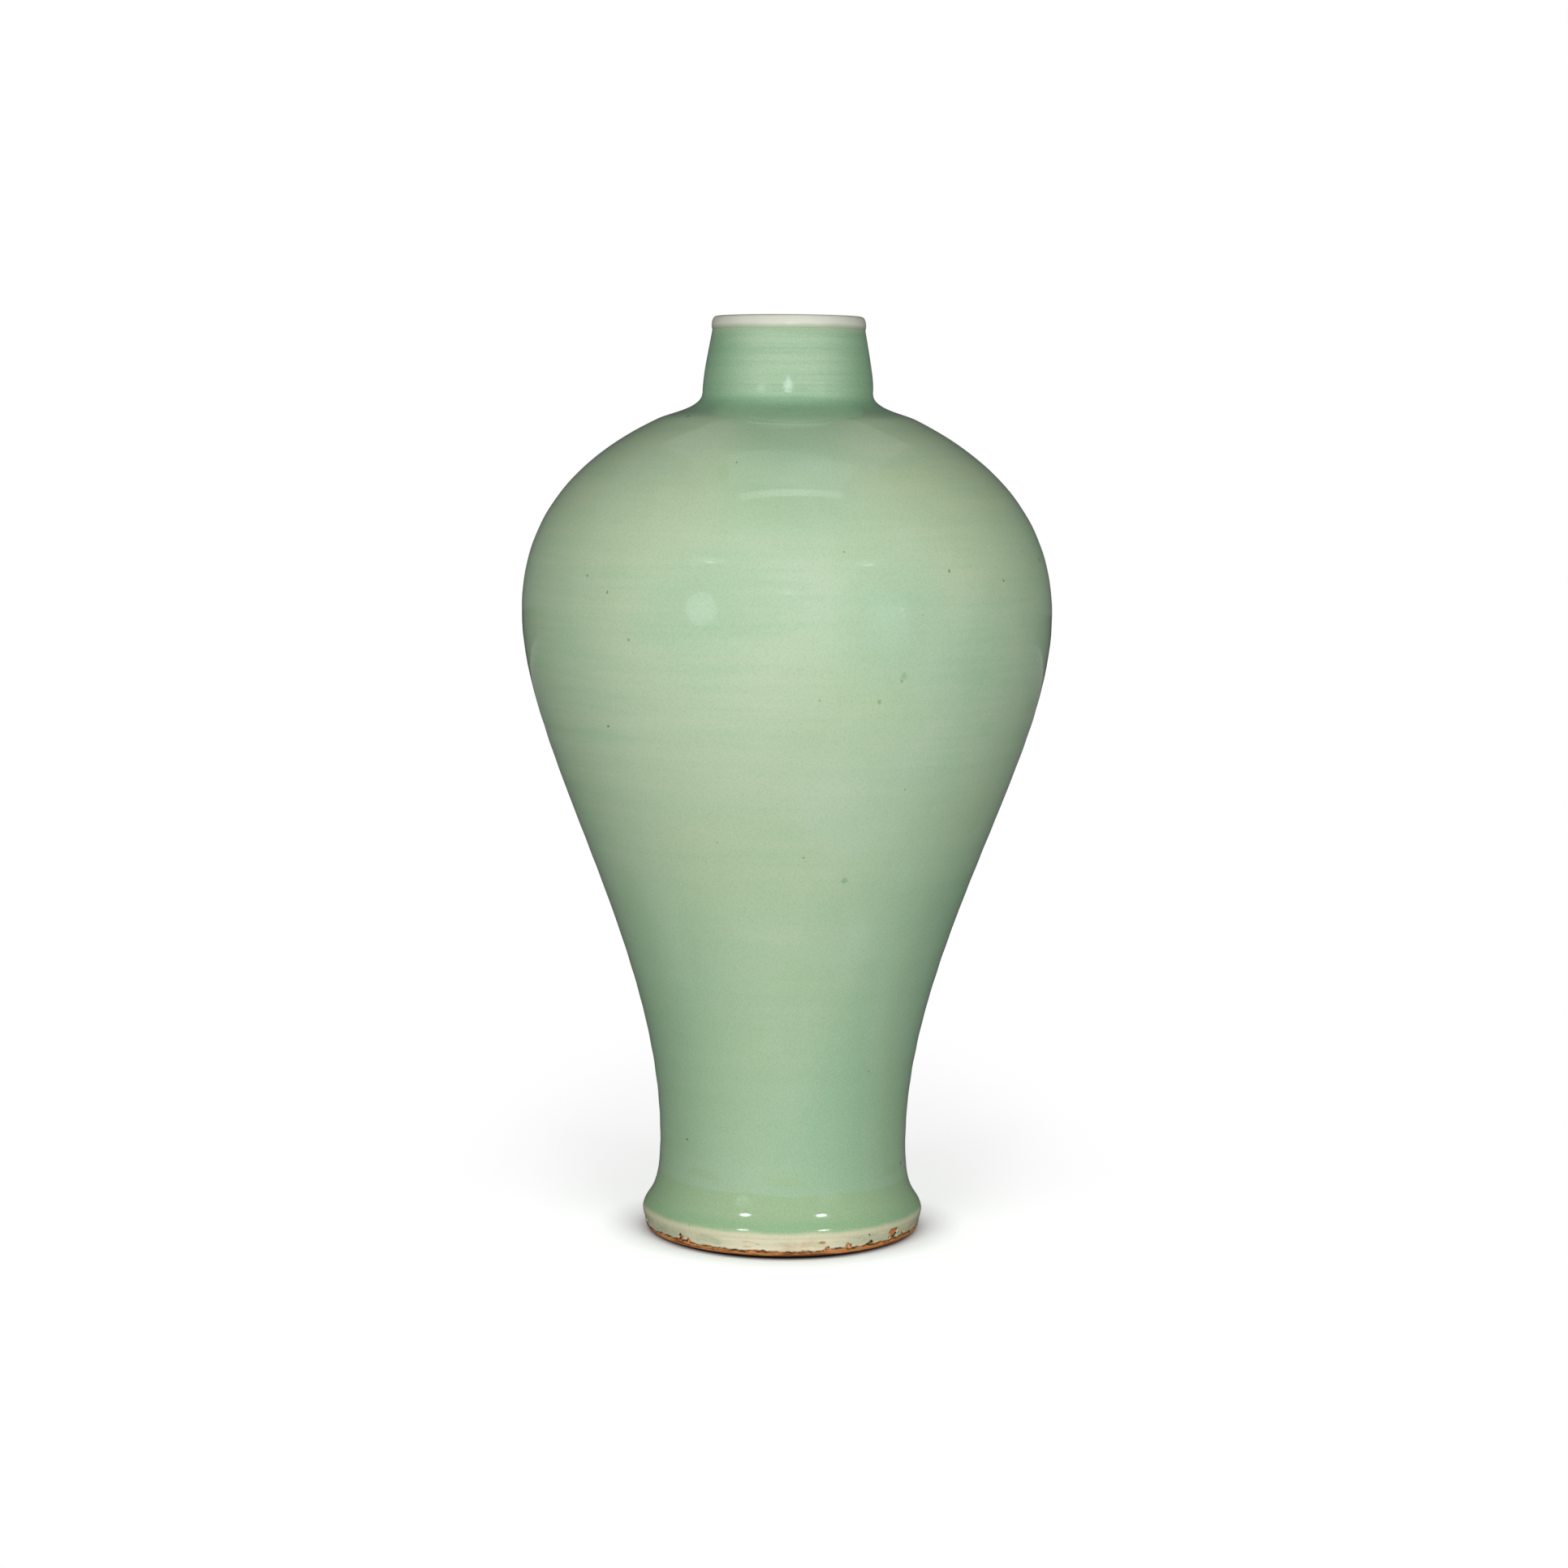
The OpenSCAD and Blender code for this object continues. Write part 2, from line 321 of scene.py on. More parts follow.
def zone(tree, colour, height, row, *shares):
    """The colour changed between two heights as a row of the zones says, and by the product of the shares."""
    low, high, soft, strength, tint = row
    return overlay(tree, colour, tint, band(tree, height, low, high, soft), strength, *shares)


def finish_material(material, tree, colour, roughness, relief, relief_mm, **sockets):
    """Closes a material with a Principled shader whose surface is uneven by the pattern relief."""
    normal = add(tree, "Bump", {"Strength": 1.0, "Distance": relief_mm * MM, "Height": relief})
    inputs = {"Base Color": colour, "Roughness": roughness, **sockets, "Normal": normal}
    add_output(tree, add(tree, "BsdfPrincipled", inputs))
    return material


# Colours, in screen values
CELADON = (198, 208, 188)
CELADON_PALE = (210, 215, 199)
CELADON_BLUE = (175, 200, 175)
CELADON_OLIVE = (194, 205, 175)
WAIST = (160, 184, 154)
POOL = (132, 172, 142)
# Dark green of the painted shade at the front of the fold and below it
FOLD_SHADE = (112, 152, 124)
NECK = (184, 199, 178)
NECK_BAND = (178, 190, 166)
# Darker green of the painted shade on the neck's flanks, also used for the wheel lines
NECK_SHADE_AND_LINES = (138, 172, 144)
ANKLE = (174, 190, 152)
GATHERED = (150, 188, 150)
CREAM = (246, 222, 200)
SPECK = (96, 92, 66)
STIPPLE = (150, 172, 132)
LIP = (213, 215, 199)
LIP_PALE = (223, 224, 209)
LIP_CLAY = (206, 194, 166)
EDGE = (204, 208, 172)
EDGE_PALE = (228, 226, 192)
# Cream of the front of the foot's edge, partly painted light
EDGE_CREAM_LIT = (243, 236, 205)
EDGE_TAN = (204, 180, 130)
EDGE_GREEN = (184, 198, 166)
EDGE_SCORCHED = (158, 112, 66)
CHIP_CLAY = (196, 124, 62)
DARK_BROWN = (58, 36, 22)
BURNT = (222, 134, 64)
BURNT_PALE = (234, 166, 104)
BURNT_STREAK = (128, 68, 34)
BURNT_ASH = (186, 152, 116)
BURNT_GRIT = (226, 206, 170)
CLAY_GRIT = (104, 92, 78)
BASE_GREEN = (150, 180, 150)
BASE_PALE = (176, 200, 168)
PINHOLE = (120, 92, 62)
STONEWARE_TONES = ((186, 174, 156), (160, 148, 130))
SLIP_TONES = ((196, 182, 160), (178, 162, 138))

# The clear skin of the glaze, which tints what is seen through it, and the duller skin on the foot's edge
GLASSY = {
    "Specular IOR Level": 0.0,
    "Coat Weight": 1.0,
    "Coat Roughness": 0.06,
    "Coat IOR": 1.5,
    "Coat Tint": linear((238, 255, 241)),
}
EDGE_GLASSY = {**GLASSY, "Coat Roughness": 0.12, "Coat Tint": WHITE}
GLASS_IOR = 1.5

# Zones: lower and upper edge, width of the soft edges, strength, colour
NECK_ZONE = (312.0, 345.0, 6.0, 0.75, NECK)
# Painted shade on the neck's flanks
FLANK_SHADE_ZONE = (306.0, 345.0, 6.0, 0.62, NECK_SHADE_AND_LINES)
WHEEL_ZONE = (312.0, 338.0, 3.0, 0.30, NECK_SHADE_AND_LINES)
NECK_BAND_ZONE = (334.0, 340.0, 1.6, 1.0, NECK_BAND)
POOL_ZONE = (304.0, 311.5, 5.0, 0.55, POOL)
# Painted shade in the fold, laid only at its front
FOLD_FRONT_SHADE_ZONE = (300.5, 310.5, 3.0, 0.22, FOLD_SHADE)
SMEAR_ZONE = (25.6, 28.8, 1.2, 0.40, ANKLE)
ANKLE_ZONE = (0.0, 21.8, 0.9, 0.60, ANKLE)
GATHERED_ZONE = (9.2, 12.5, 3.0, 0.35, GATHERED)
LIP_LINE_ZONE = (339.7, 340.6, 0.3, 1.0, LIP_CLAY)

# How far from the middle plane, in metres, the painted shade on the flanks of the neck starts and is full
FLANK_SHADE_REACH = (0.010, 0.030)
# The front of the fold, where painted shade darkens the pool and the painted reflection of the crescent is
# centred: azimuth, height; and the width of that painted shade
FOLD_FRONT_CENTRE = (0.8, 304.5)
FRONT_SHADE_WIDTH = 46.0
# Painted shade below the fold at the front: azimuth, height, width; and its strength
APRON_SHADE = (0.8, 300.0, 40.0)
APRON_SHADE_STRENGTH = 0.27
# The crescent in the pool, a painted reflection: one over its half lengths in metres; its light lines of
# painted reflection, as where they begin and end in half lengths, and their strength; the softness of their
# edges; the heights and the distances from the middle plane, in metres, between which they fade in
CRESCENT_SCALE = (1 / 0.019, 1 / 0.0106, 1 / 0.0106)
REFLECTED_ARC = ((0.90, 1.06, 0.36), (0.70, 0.80, 0.16))
CRESCENT_SOFT = 0.06
CRESCENT_TOP = (304.8, 303.8)
CRESCENT_ENDS = (0.018, 0.011)

# Wide soft patches where the glaze is warmer or greener, and three bluish-green ones that are painted tints
# round the reflections of the two windows and the shoulder panel: azimuth, height, width, strength, colour
TONE_PATCHES_AND_REFLECTION_TINTS = (
    (-47.0, 198.0, 120.0, 0.60, (212, 214, 192)),
    (-18.0, 205.0, 90.0, 0.35, (212, 214, 194)),
    (-48.0, 276.0, 80.0, 0.50, (210, 210, 182)),
    (50.0, 276.0, 80.0, 0.60, (214, 211, 182)),
    (60.0, 100.0, 90.0, 0.50, (156, 190, 162)),
    (52.0, 52.0, 70.0, 0.50, (156, 190, 162)),
    (-62.0, 58.0, 70.0, 0.35, (158, 190, 160)),
    (-62.0, 104.0, 80.0, 0.45, (158, 190, 160)),
    # Painted reflections: bluish-green tints round the window and shoulder-panel reflections
    (-17.6, 237.0, 40.0, 0.28, (160, 194, 168)),
    (22.5, 234.0, 38.0, 0.34, (158, 194, 168)),
    (0.9, 283.0, 42.0, 0.24, (160, 194, 166)),
    (170.0, 150.0, 120.0, 0.40, (208, 212, 190)),
    (140.0, 262.0, 80.0, 0.40, (160, 192, 164)),
)

# Marks on the celadon, at the front as the photograph shows them: azimuth, height, width, colour
MARKS = (
    (24.9, 214.6, 2.2, (166, 188, 156)),
    (24.4, 212.8, 1.3, (152, 170, 138)),
    (19.8, 205.7, 1.7, (158, 170, 132)),
    (16.9, 140.7, 2.2, (152, 182, 152)),
    (-34.1, 226.0, 1.2, (178, 142, 98)),
    (-43.1, 194.5, 1.2, (120, 98, 70)),
    (-46.5, 247.2, 0.9, (112, 108, 80)),
    (-40.0, 242.0, 0.9, (120, 116, 86)),
    (36.0, 250.4, 0.9, (112, 108, 80)),
    (52.2, 246.3, 0.9, (112, 108, 80)),
    (74.2, 252.5, 1.1, (104, 100, 74)),
    (-49.6, 38.8, 1.1, (112, 100, 70)),
    (7.0, 206.5, 0.8, (142, 148, 112)),
    (-51.5, 303.2, 1.2, (76, 64, 42)),
    (-14.5, 287.2, 0.9, (120, 136, 106)),
    (71.7, 27.2, 1.0, (92, 84, 60)),
    (24.0, 237.5, 0.8, (206, 220, 200)),
    (24.2, 235.5, 0.8, (202, 218, 196)),
    (131.0, 260.0, 1.2, (112, 104, 76)),
    (158.0, 181.0, 1.4, (120, 112, 82)),
    (205.0, 228.0, 1.0, (104, 96, 70)),
    (243.0, 121.0, 1.6, (132, 152, 124)),
    (118.0, 96.0, 1.0, (112, 100, 70)),
)
MARK_STRENGTH = 0.8

# The patch at the front of the foot's edge that is creamier and lighter, partly the glaze's own cream and
# partly painted light, with the sides left greener and darker: azimuth, height, width; and its strength
CREAMY_LIT_PATCH = (0.0, 4.8, 48.0)
CREAMY_LIT_STRENGTH = 0.8

# Stains and pits in the pale glaze of the foot: azimuth, height, width, colour
EDGE_MARKS = (
    (-13.5, 5.1, 4.0, (208, 182, 126)),
    (-10.0, 4.6, 2.6, (196, 168, 116)),
    (13.2, 5.4, 2.4, (170, 126, 80)),
    (15.2, 5.6, 2.2, (160, 114, 70)),
    (17.0, 5.3, 1.6, (176, 134, 88)),
    (30.4, 6.7, 0.7, (40, 34, 28)),
    (32.4, 5.6, 0.7, (40, 34, 28)),
    (38.0, 6.1, 0.7, (40, 34, 28)),
    (-101.0, 5.0, 3.6, (196, 164, 112)),
    (119.0, 5.4, 3.0, (176, 134, 88)),
    (201.0, 4.8, 4.2, (204, 176, 122)),
)

# Numbers stored on the vertices of the foot for its materials
ABOVE_BORDER = "mm_above_border"
CHIP_DEPTH = "chip_depth"


def celadon_tones(tree):
    """The celadon's tones: soft clouds, wide patches, some of them painted reflection tints, rings and
    streaks of the wheel, and pale runs.
    """
    clouds = grain(tree, (1, 1, 1.5), 19.0, detail=5.0, roughness=0.6)
    drift = grain(tree, (1, 1, 1), 9.0, detail=4.0)
    rings = grain(tree, (0.12, 0.12, 1), 95.0, detail=3.0)
    streaks = grain(tree, (0.05, 0.05, 1), 420.0)
    runs = grain(tree, (1, 1, 0.16), 34.0, detail=3.0)
    colour = veil(tree, linear(CELADON), CELADON_PALE, clouds, start=0.38, full=0.62, strength=0.80)
    colour = veil(tree, colour, CELADON_BLUE, drift, start=0.48, full=0.64, strength=0.62)
    colour = veil(tree, colour, CELADON_OLIVE, drift, start=0.50, full=0.36, strength=0.60)
    # Three of these patches are painted reflection tints round the lamps' reflections
    for azimuth, height, size, strength, tint in TONE_PATCHES_AND_REFLECTION_TINTS:
        patch = spot(tree, place(tree), azimuth, height, size, soft=0.7)
        colour = overlay(tree, colour, tint, patch, strength)
    colour = veil(tree, colour, CELADON_BLUE, rings, start=0.45, full=0.70, strength=0.20)
    streaky = spread(tree, streaks, 0.42, 0.68, 0.0, 0.32)
    colour = overlay(tree, colour, CELADON_BLUE, streaky, spread(tree, drift, 0.42, 0.58, 0.4, 1.0))
    return veil(tree, colour, CELADON_PALE, runs, start=0.54, full=0.70, strength=0.30)


def neck_tones(tree, colour, height, across):
    """Greener glaze on the neck, painted shade that darkens its flanks, and fine dark lines of the wheel."""
    colour = zone(tree, colour, height, NECK_ZONE)
    # Painted shade: the neck darker towards its flanks, away from the middle plane
    colour = zone(tree, colour, height, FLANK_SHADE_ZONE, spread(tree, across, *FLANK_SHADE_REACH, smooth=True))
    lines = grain(tree, (0.03, 0.03, 1), 620.0)
    return zone(tree, colour, height, WHEEL_ZONE, spread(tree, lines, 0.40, 0.66))


def fold_tones(tree, colour, height, across):
    """Deep glaze in the fold, with painted shade at its front and below it, and the light lines of a crescent
    in it, which are a painted reflection.
    """
    colour = zone(tree, colour, height, POOL_ZONE)
    # Painted shade: the pool darker at the front of the fold, and below it
    middle = spot(tree, place(tree), *FOLD_FRONT_CENTRE, FRONT_SHADE_WIDTH, soft=0.6)
    colour = zone(tree, colour, height, FOLD_FRONT_SHADE_ZONE, middle)
    apron_shade = spot(tree, place(tree), *APRON_SHADE, soft=0.6)
    colour = overlay(tree, colour, FOLD_SHADE, apron_shade, APRON_SHADE_STRENGTH)
    off = add(tree, "VectorMath", {0: place(tree), 1: on_skin(*FOLD_FRONT_CENTRE)}, operation="SUBTRACT")
    off = add(tree, "VectorMath", {0: off, 1: CRESCENT_SCALE}, operation="MULTIPLY")
    off = length(tree, off)
    faded = product(
        tree, spread(tree, height_mm(tree), *CRESCENT_TOP), spread(tree, across, *CRESCENT_ENDS)
    )
    # Painted reflection: the light lines of a crescent in the pool
    for inner, outer, strength in REFLECTED_ARC:
        line = band(tree, off, inner, outer, CRESCENT_SOFT)
        colour = overlay(tree, colour, CELADON_PALE, line, strength, faded)
    return colour


def foot_tones(tree, colour, height):
    """Smears above the ankle, glaze gathered above the ridge, and the thin creamy edge on it."""
    colour = zone(tree, colour, height, ANKLE_ZONE)
    smears = grain(tree, (1, 1, 1.4), 46.0, detail=4.0)
    colour = zone(tree, colour, height, SMEAR_ZONE, spread(tree, smears, 0.54, 0.60))
    low = height_mm(tree, wobble=0.5, scale=60.0)
    colour = zone(tree, colour, low, GATHERED_ZONE)
    return veil(tree, colour, CREAM, low, start=9.9, full=7.9, strength=0.95, smooth=True)


def specks(tree, colour):
    """Fine grain, scattered dark specks and the single marks."""
    fine = grain(tree, (1, 1, 1), 1700.0, detail=1.0)
    colour = veil(tree, colour, STIPPLE, fine, start=0.46, full=0.80, strength=0.28)
    colour = veil(tree, colour, CELADON_PALE, fine, start=0.50, full=0.20, strength=0.30)
    colour = veil(tree, colour, SPECK, cells(tree, 60.0), start=0.030, full=0.012, strength=0.55)
    where = warped_place(tree, shift_mm=0.35, scale=900.0)
    for azimuth, height, size, tint in MARKS:
        colour = overlay(tree, colour, tint, spot(tree, where, azimuth, height, size), MARK_STRENGTH)
    return colour


def celadon_material():
    """The blue-green glaze: clouded, greener on waist and neck, pooled in the fold, thin at lip and foot,
    with painted shade on the neck's flanks and at the front of the fold, a painted reflection in the fold and
    painted tints round reflections.
    """
    material, tree = new_material("celadon")
    uneven = height_mm(tree, wobble=1.0, scale=34.0)
    across = maths(tree, "ABSOLUTE", add(tree, "SeparateXYZ", {0: place(tree)}, out=0))
    colour = celadon_tones(tree)
    wavering = height_mm(tree, wobble=6.0, scale=20.0)
    colour = veil(tree, colour, WAIST, wavering, start=120.0, full=40.0, strength=0.27, smooth=True)
    colour = neck_tones(tree, colour, uneven, across)
    colour = fold_tones(tree, colour, uneven, across)
    colour = zone(tree, colour, uneven, NECK_BAND_ZONE)
    colour = foot_tones(tree, colour, uneven)
    colour = specks(tree, colour)
    peel = grain(tree, (1, 1, 1), 260.0)
    return finish_material(material, tree, colour, roughness=0.3, relief=peel, relief_mm=0.02, **GLASSY)


def lip_material():
    """The thin pale glaze of the lip, which shows the clay as a faint brown line along its top."""
    material, tree = new_material("pale_lip_glaze")
    clouds = grain(tree, (1, 1, 1), 45.0, detail=3.0)
    height = height_mm(tree, wobble=0.35, scale=60.0)
    colour = veil(tree, linear(LIP), LIP_PALE, clouds, start=0.35, full=0.65)
    colour = veil(tree, colour, NECK_BAND, height, start=337.4, full=335.4, smooth=True)
    colour = zone(tree, colour, height, LIP_LINE_ZONE)
    return finish_material(
        material, tree, colour, roughness=0.12, relief=clouds, relief_mm=0.05, IOR=GLASS_IOR
    )


def edge_material():
    """The pale cream glaze at the edge of the foot, stained by the clay beneath it, with painted light making
    its front creamier and lighter.
    """
    material, tree = new_material("pale_edge_glaze")
    clouds = grain(tree, (1, 1, 2), 110.0, detail=4.0, roughness=0.6)
    stains = grain(tree, (1, 1, 2.5), 60.0, detail=4.0, roughness=0.6)
    crumbs = grain(tree, (1, 1, 1.5), 420.0, detail=3.0, roughness=0.6)
    where = warped_place(tree, shift_mm=0.8, scale=420.0)
    colour = veil(tree, linear(EDGE), EDGE_PALE, clouds, start=0.38, full=0.62)
    # Partly painted light: the front of the foot's edge creamier and lighter than its sides
    front = spot(tree, where, *CREAMY_LIT_PATCH, soft=0.45)
    colour = overlay(tree, colour, EDGE_CREAM_LIT, front, CREAMY_LIT_STRENGTH)
    colour = veil(tree, colour, EDGE_TAN, stains, start=0.56, full=0.70, strength=0.6)
    colour = veil(tree, colour, EDGE_GREEN, stains, start=0.45, full=0.33, strength=0.6)
    scratchy = spread(tree, grain(tree, (1, 1, 6), 150.0, detail=4.0), 0.46, 0.56)
    for azimuth, height, size, tint in EDGE_MARKS:
        stain = spot(tree, where, azimuth, height, size, soft=0.8)
        colour = overlay(tree, colour, tint, stain, scratchy)
    above, chip = stored(tree, ABOVE_BORDER), stored(tree, CHIP_DEPTH)
    colour = veil(tree, colour, EDGE_SCORCHED, above, start=0.8, full=0.0, strength=0.75, smooth=True)
    colour = veil(tree, colour, CHIP_CLAY, chip, start=0.25, full=0.6)
    # Darker along the rims of the chips, and along the glaze's lower border
    chip_rim = product(tree, spread(tree, chip, 0.0, 0.1), spread(tree, chip, 1.0, 0.55))
    crust = maths(tree, "MAXIMUM", chip_rim, spread(tree, above, 0.48, 0.14))
    colour = overlay(tree, colour, DARK_BROWN, crust, spread(tree, crumbs, 0.43, 0.51, 0.0, 0.92))
    return finish_material(
        material, tree, colour, roughness=0.3, relief=clouds, relief_mm=0.12, **EDGE_GLASSY
    )


def burnt_material():
    """Bare clay that the fire turned orange, with brown streaks and a dark crust under the glaze."""
    material, tree = new_material("burnt_clay")
    streaks = grain(tree, (1, 1, 16), 60.0, detail=6.0, roughness=0.7)
    mottle = grain(tree, (1, 1, 1.5), 120.0, detail=5.0, roughness=0.6)
    grit = grain(tree, (1, 1, 1), 900.0, detail=3.0, roughness=0.6)
    crumbs = grain(tree, (1, 1, 2), 240.0, detail=4.0, roughness=0.65)
    colour = veil(tree, linear(BURNT), BURNT_PALE, mottle, start=0.38, full=0.62)
    colour = veil(tree, colour, BURNT_STREAK, streaks, start=0.47, full=0.58, strength=0.85)
    above, chip = stored(tree, ABOVE_BORDER), stored(tree, CHIP_DEPTH)
    crust = spread(tree, above, -0.9, -0.25)
    crusted = spread(tree, crumbs, 0.42, 0.54, 0.0, 0.92)
    colour = overlay(tree, colour, DARK_BROWN, crust, crusted, spread(tree, chip, 0.5, 0.2))
    height = height_mm(tree, wobble=0.25, scale=120.0)
    colour = veil(tree, colour, BURNT_ASH, height, start=0.65, full=0.2, strength=0.8)
    colour = veil(tree, colour, BURNT_GRIT, grit, start=0.62, full=0.72, strength=0.4)
    return finish_material(material, tree, colour, roughness=0.75, relief=grit, relief_mm=0.25)


def clay_material(name, light, dark, ring_mm):
    """Bare fired clay with fine grit and the rings of the thrower's fingers, ring_mm apart."""
    material, tree = new_material(name)
    mottle = grain(tree, (1, 1, 1), 30.0, detail=4.0)
    grit = grain(tree, (1, 1, 1), 1100.0, detail=3.0, roughness=0.6)
    colour = veil(tree, linear(light), dark, mottle, start=0.3, full=0.7)
    colour = veil(tree, colour, CLAY_GRIT, grit, start=0.62, full=0.74, strength=0.55)
    height = height_mm(tree, wobble=1.5, scale=12.0)
    rings = maths(tree, "SINE", product(tree, height, 2 * math.pi / ring_mm))
    relief = maths(tree, "ADD", rings, product(tree, grit, 0.5))
    return finish_material(material, tree, colour, roughness=0.85, relief=relief, relief_mm=0.18)


def base_glaze_material():
    """The pool of glaze under the base, greener where it lies thick, with a few pinholes."""
    material, tree = new_material("base_pool_glaze")
    drift = grain(tree, (1, 1, 1), 28.0, detail=4.0)
    colour = veil(tree, linear(BASE_GREEN), BASE_PALE, drift, start=0.35, full=0.65)
    colour = veil(tree, colour, PINHOLE, cells(tree, 130.0), start=0.09, full=0.04)
    return finish_material(
        material, tree, colour, roughness=0.14, relief=drift, relief_mm=0.2, IOR=GLASS_IOR
    )


# Small departures of the fired surface from a true turned one, in millimetres.
# How far the axis of the fired vase is off the true axis towards +X, at heights
BOW_HEIGHTS = (0, 40, 110, 190, 240, 292, 318, 340)
BOW = (0.0, 0.1, 0.3, 0.5, 0.0, -0.55, -0.1, 0.0)

# Faint rings and lumps in the wall: depth, and the heights over which their waves turn by a radian
RING_DEPTH = 0.05
RING_PITCH = 1.9
RING_SWELL = 13.0
LUMP_DEPTH = 0.09
LUMP_TWIST = 34.0
LUMP_SWELL = 41.0

# Fine turning lines round the foot of the neck: height and depth; and their half width
GROOVES = ((311.9, 0.10), (310.6, 0.10), (309.2, 0.06))
GROOVE_WIDTH = 0.45

# Heights over which the unevenness of the body starts and ends, so that its edges stay where they are, and
# the depth down to which points of the coat count as its skin
UNEVEN_FROM = (7.0, 32.0)
UNEVEN_TO = (322.0, 334.0)
SKIN_DEPTH = 0.25

# Height, rise and half width of the crest of the ridge round the foot
RIDGE_CREST = (7.6, 0.18, 0.8)

# How far the lower border of the edge glaze hangs below the bare band's top, at azimuths, and the small
# unevenness on top of it: depth, width of its features, seed
BORDER_AT = (0, 15, 30, 50, 90, 140, 200, 260, 312, 335, 350, 360)
BORDER_DROP = (0.6, 0.5, 0.1, -0.2, 0.2, 0.3, -0.1, 0.2, 0.1, 0.3, 0.5, 0.6)
BORDER_ROUGH = ((0.55, 4.0, 11.0), (0.5, 1.5, 23.0))

# Chips in the edge of the foot: azimuth, height, half width, half height; and how deep they go into the
# glaze and into the clay under it
CHIPS = (
    (52.3, 5.0, 2.2, 1.8),
    (28.3, 3.3, 1.0, 0.9),
    (59.5, 4.1, 0.6, 0.5),
    (39.1, 3.4, 0.8, 0.5),
    (18.9, 3.1, 0.7, 0.5),
    (-45.9, 3.4, 0.9, 1.1),
    (-41.8, 3.0, 0.7, 0.9),
    (-78.0, 3.6, 1.2, 0.9),
    (-122.0, 4.2, 1.7, 1.1),
    (150.0, 4.9, 1.3, 1.2),
    (172.0, 3.2, 1.0, 0.7),
    (96.0, 3.6, 0.9, 0.8),
)
CHIP_IN_GLAZE = 1.1
CHIP_IN_CLAY = 0.35

# The outside of the foot section is remade up to RIM_TOP, cut into this many fine rings to just above the
# bare band and this many wider ones from there. Its clay steps back under the edge glaze from below to above
# the top of the bare band. Its grit, in rows of depth, width, seed and how much lower than wide, starts
# above the resting face, ends below RIM_TOP and lies a little back
RIM_TOP = 9.0
FINE_RINGS = 19
FINE_RINGS_END = 1.6
WIDE_RINGS = 9
WIDE_RINGS_START = 2.0
STEP_FROM = 0.9
STEP_TO = 0.5
GRIT = ((0.16, 1.1, 3.0, 1), (0.14, 3.2, 40.0, 3))
GRIT_START = (0.02, 0.5)
GRIT_END = 3.0
GRIT_BACK = 0.1

# How far the edge glaze stands out at its lower border, and how deep its hidden side lies under the skin
EDGE_PROUD = 0.06
EDGE_BACK = 2.2

# Segments round the axis, and parts that each stretch of an outline is cut into
FOOT_SEGMENTS = 1080
BODY_SEGMENTS = 320
LIP_SEGMENTS = 256
EDGE_PARTS = 5
LIP_PARTS = 3
BODY_PARTS = 2
BODY_PARTS_FINE = 4
FINE_BELOW = 32
FINE_AT_GROOVES = (305, 315)


def eased(value, low, high):
    """0 below low, 1 above high, and a smooth rise between them."""
    t = np.clip((value - low) / (high - low), 0, 1)
    return t * t * (3 - 2 * t)


def throwing(azimuth, height):
    """Faint rings, lumps and grooves that the potter's hands and tools left in the wall."""
    rings = RING_DEPTH * np.sin(height / RING_PITCH + 0.8 * np.sin(azimuth)) * np.sin(height / RING_SWELL)
    lumps = LUMP_DEPTH * np.sin(2 * azimuth + height / LUMP_TWIST) * np.sin(height / LUMP_SWELL + 1.0)
    grooves = sum(-deep * np.exp(-(((height - at) / GROOVE_WIDTH) ** 2)) for at, deep in GROOVES)
    return rings + lumps + grooves


def bead(height):
    """The thin crest of the ridge round the foot."""
    at, rise, half_width = RIDGE_CREST
    return rise * np.exp(-(((height - at) / half_width) ** 2))


def rough(azimuth, height, scale, seed):
    """Noise from -1 to 1 round the foot, with features about scale millimetres wide."""
    around_mm = skin_radius(BARE_H)
    return np.array([
        noise.noise(Vector((math.sin(a) * around_mm, math.cos(a) * around_mm, h + seed)) / scale)
        for a, h in zip(azimuth, height)
    ])


def hang(azimuth):
    """How far the lower border of the edge glaze hangs below the top of the bare band, in millimetres."""
    drop = np.interp(np.degrees(azimuth), BORDER_AT, BORDER_DROP)
    flat = np.zeros_like(azimuth)
    for depth, scale, seed in BORDER_ROUGH:
        drop = drop + depth * rough(azimuth, flat, scale, seed)
    return drop


def chipped(azimuth, height):
    """How far into a chip points of the foot's edge are, from 0 at its border to 1. Waves that differ
    from chip to chip make the border irregular."""
    turn = np.degrees(azimuth)
    depth = np.zeros_like(height)
    for at, up, wide, tall in CHIPS:
        across = np.radians((turn - at + 180) % 360 - 180) * skin_radius(up)
        reach = np.hypot(across / wide, (height - up) / tall)
        reach = reach * (1 + 0.3 * np.sin(2.7 * across + at) * np.cos(3.1 * height + up))
        depth = np.maximum(depth, np.clip(1.5 * (1.25 - reach), 0, 1))
    return depth


def tag(mesh_object, name, values):
    """Stores a number on each vertex."""
    mesh_object.data.attributes.new(name, "FLOAT", "POINT").data.foreach_set("value", values)


def tag_foot(mesh_object):
    """Stores how far each vertex is above the border of the edge glaze and inside a chip."""
    x, y, z = (np.array([v.co[:] for v in mesh_object.data.vertices]) / MM).T
    turn = np.arctan2(x, -y) % (2 * math.pi)
    tag(mesh_object, ABOVE_BORDER, z - BARE_H + hang(turn))
    tag(mesh_object, CHIP_DEPTH, chipped(turn, z))
    return mesh_object


